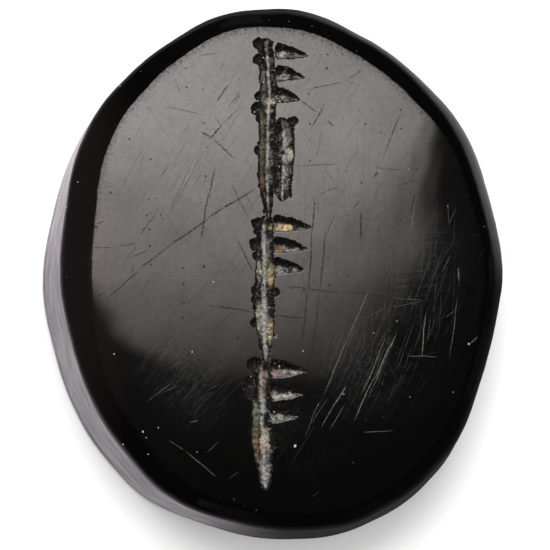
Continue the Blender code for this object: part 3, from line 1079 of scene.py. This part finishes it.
def viewFrame():
    # the camera's right, up and back, and its place
    tilt, lean = math.radians(studio["tilt"]), math.radians(studio["toward"])
    level = math.sin(tilt)
    back = Vector((level * math.cos(lean), level * math.sin(lean), math.cos(tilt)))
    up = (Vector((0, 1, 0)) - back * back.y).normalized()
    right = up.cross(back)
    middle = Vector(studio["stoneMiddle"]) + right * studio["aim"][0] + up * studio["aim"][1]
    return right, up, back, middle + back * studio["distance"]


def seenAt(across, down, height):
    # the place at that height that shows at a place in the picture
    right, up, back, eye = viewFrame()
    half = studio["picture"] / 2
    size = studio["frameWidth"] / studio["picture"]
    ray = right * (across - half) * size + up * (half - down) * size - back * studio["distance"]
    found = eye + ray * (eye.z - height) / -ray.z
    return Vector((found.x, found.y, 0))


def onShoulder(across, down):
    return seenAt(across, down, stone["shoulderHeight"])


def onFace(across, down):
    height = stone["faceEdgeHeight"] + stone["domeRise"] / 2
    for _ in range(3):
        found = seenAt(across, down, height)
        share = (found.x / stone["faceHalfWidth"]) ** 2 + (found.y / stone["faceHalfLength"]) ** 2
        height = stone["faceEdgeHeight"] + stone["domeRise"] * (1 - min(1, share))
    return found


def aimCamera():
    right, up, back, eye = viewFrame()
    data = bpy.data.cameras.new("camera")
    camera = bpy.data.objects.new("camera", data)
    scene.collection.objects.link(camera)
    pose = Matrix((right, up, back)).transposed().to_4x4()
    pose.translation = eye * mm
    camera.matrix_world = pose
    data.sensor_width = studio["sensor"]
    data.lens = studio["sensor"] * studio["distance"] / studio["frameWidth"]
    data.clip_start, data.clip_end = 0.02, 10
    scene.camera = camera


def addPlane(name, size, middle):
    # a plane with an empty material, the places on it and the socket for its surface
    bpy.ops.object.select_all(action="DESELECT")
    bpy.ops.mesh.primitive_plane_add(size=size * mm, location=[value * mm for value in middle])
    made = bpy.context.active_object
    made.name = name
    material = bpy.data.materials.new(name)
    made.data.materials.append(material)
    material.use_nodes = True
    tree = material.node_tree
    tree.nodes.clear()
    spot = stretched(put(tree, "TexCoord", "Object"), (1 / mm, 1 / mm, 0))
    return made, spot, tree.nodes.new("ShaderNodeOutputMaterial").inputs["Surface"]


def layFloor():
    # white to the eye; the polished stone mirrors it bright on its left and behind, dim in front
    floor, spot, surface = addPlane("floor", studio["floorSize"], (0, 0, -studio["floorDrop"]))
    away, way = reckon("LENGTH", spot), reckon("NORMALIZE", spot)
    far = ease(away, *studio["glowStarts"])
    beside, behind, right = [
        ease(reckon("DOT_PRODUCT", way, side), *reach) for side, *reach in studio["glows"]
    ]
    behind = (behind * far + right) * ease(away, *studio["glowFades"])
    strength = beside * ramp(far, 0, 1, 1, 0.3) + behind
    inputs = {
        "Fac": put(spot.tree, "LightPath", "Is Glossy Ray"),
        1: put(spot.tree, "BsdfDiffuse", 0, {"Color": studio["floorColour"]}),
        2: put(spot.tree, "Emission", 0, {"Color": studio["floorTint"], "Strength": strength}),
    }
    plug(put(spot.tree, "MixShader", 0, inputs), surface)


softbox = {
    "height": 550.0,
    "middle": (99.0, 98.0),
    "size": 420.0,
    "halfWidth": 111.5,
    "halfDepth": 74.0,         # below its middle; above it the box runs on
    "edge": (0.90, 1.06),
    "fade": (-76.0, 36.0),     # dim at its near end, bright from here on
    "sides": (-80.0, 95.0),    # between which it dims towards the right
    "upper": (0.0, 60.0),      # and dims more from here on
    "slant": 0.7,              # the lean of its dim lower right corner
    "corner": (44.0, 140.0),
    "strength": 6.6,
    "farColour": (1.06, 1.0, 0.965, 1),
    "nearColour": (1.13, 1.0, 0.90, 1),
}


def hangSoftbox():
    # only the polished stone sees it
    middle = (*softbox["middle"], softbox["height"])
    box, spot, surface = addPlane("softbox", softbox["size"], middle)
    across, along = put(spot.tree, "SeparateXYZ", ("X", "Y"), {"Vector": spot})
    inputs = {"X": across / softbox["halfWidth"], "Y": calc("MINIMUM", along, 0) / softbox["halfDepth"]}
    away = reckon("LENGTH", put(spot.tree, "CombineXYZ", "Vector", inputs))
    fade = ramp(along, *softbox["fade"])
    twist = ramp(along, *softbox["upper"]) * ramp(across, *softbox["sides"], 0.13, -0.13)
    side = ramp(across, *softbox["sides"], 1.06, 0.86) * (twist + 1)
    slanted = calc("MULTIPLY_ADD", along, -softbox["slant"], across)
    strength = ease(away, *softbox["edge"], 1, 0) * fade * side
    strength = strength * ease(slanted, *softbox["corner"], 1, 0) * softbox["strength"]
    tint = blend(fade, softbox["nearColour"], softbox["farColour"])
    plug(put(spot.tree, "Emission", 0, {"Color": tint, "Strength": strength}), surface)
    box.visible_camera = box.visible_diffuse = box.visible_shadow = False


def areaLight(name, spot, size, power):
    data = bpy.data.lights.new(name, "AREA")
    data.size = size * mm
    data.energy = power
    light = bpy.data.objects.new(name, data)
    scene.collection.objects.link(light)
    light.location = Vector(spot) * mm
    light.rotation_mode = "QUATERNION"
    light.rotation_quaternion = Vector(spot).to_track_quat("Z", "Y")
    light.visible_glossy = False


def lightWorld():
    world = bpy.data.worlds.new("studio")
    scene.world = world
    world.use_nodes = True
    tree = world.node_tree
    seen, mirrored = put(tree, "LightPath", ("Is Camera Ray", "Is Glossy Ray"))
    light, white, dark = studio["worldLight"]
    strength = put(tree, "Mix", "Result", {"Factor": seen, "A": light, "B": white})
    strength = put(tree, "Mix", "Result", {"Factor": mirrored, "A": strength, "B": dark})
    background = tree.nodes["Background"].inputs
    plug((1, 1, 1, 1), background["Color"])
    plug(strength, background["Strength"])


def setStudio():
    scene.view_settings.view_transform = "Standard"
    aimCamera()
    layFloor()
    hangSoftbox()
    areaLight("key", *studio["key"])
    lightWorld()
    print("studio set")


madeStone = makeStone()
madeStone.data.materials.append(stoneMaterial())
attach(madeStone, "root")
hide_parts(stone["node"])
setStudio()
